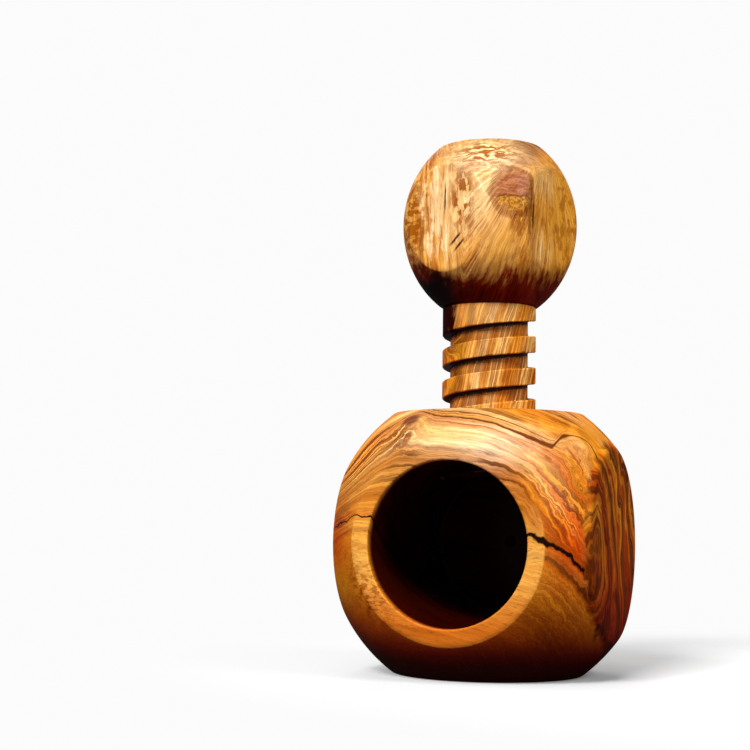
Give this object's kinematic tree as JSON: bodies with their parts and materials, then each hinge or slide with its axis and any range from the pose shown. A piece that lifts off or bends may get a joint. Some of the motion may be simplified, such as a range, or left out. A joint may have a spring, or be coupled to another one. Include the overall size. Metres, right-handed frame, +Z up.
{
  "type": "screw nutcracker",
  "caption": "Olive-wood screw nutcracker: a round block with flats and a bored nut chamber, and a threaded wooden spindle with a faceted knob that presses down on the nut.",
  "frame": {"origin": "centre of the block's flat base", "axes": "+Z up along the screw, nut chamber opening towards -Y, +X to the right as seen from the opening"},
  "size_m": [0.068, 0.068, 0.1394],
  "materials": {
    "block_wood": "oiled olive wood, satin",
    "screw_wood": "oiled straight-grained olive wood, satin",
    "knob_wood": "oiled olive burl, satin",
    "dowel_wood": "plain, unfinished"
  },
  "bodies": {
    "block": {"block": "block_wood"},
    "dowel": {"joining_dowel": "dowel_wood"},
    "screw": {"screw": "screw_wood", "knob": "knob_wood"}
  },
  "joints": [
    {"name": "screw_lift", "type": "slide", "parent": "block", "child": "dowel", "axis": [0, 0, 1], "range_m": [-0.0232, 0.0085]},
    {"name": "screw_turn", "type": "hinge", "parent": "dowel", "child": "screw", "pos_m": [0, 0, 0.0964], "axis": [0, 0, 1], "range_deg": [-990, 360]}
  ],
  "couplings": [
    {"joint": "screw_lift", "follows": "screw_turn", "m_per_rad": 0.0013369}
  ]
}
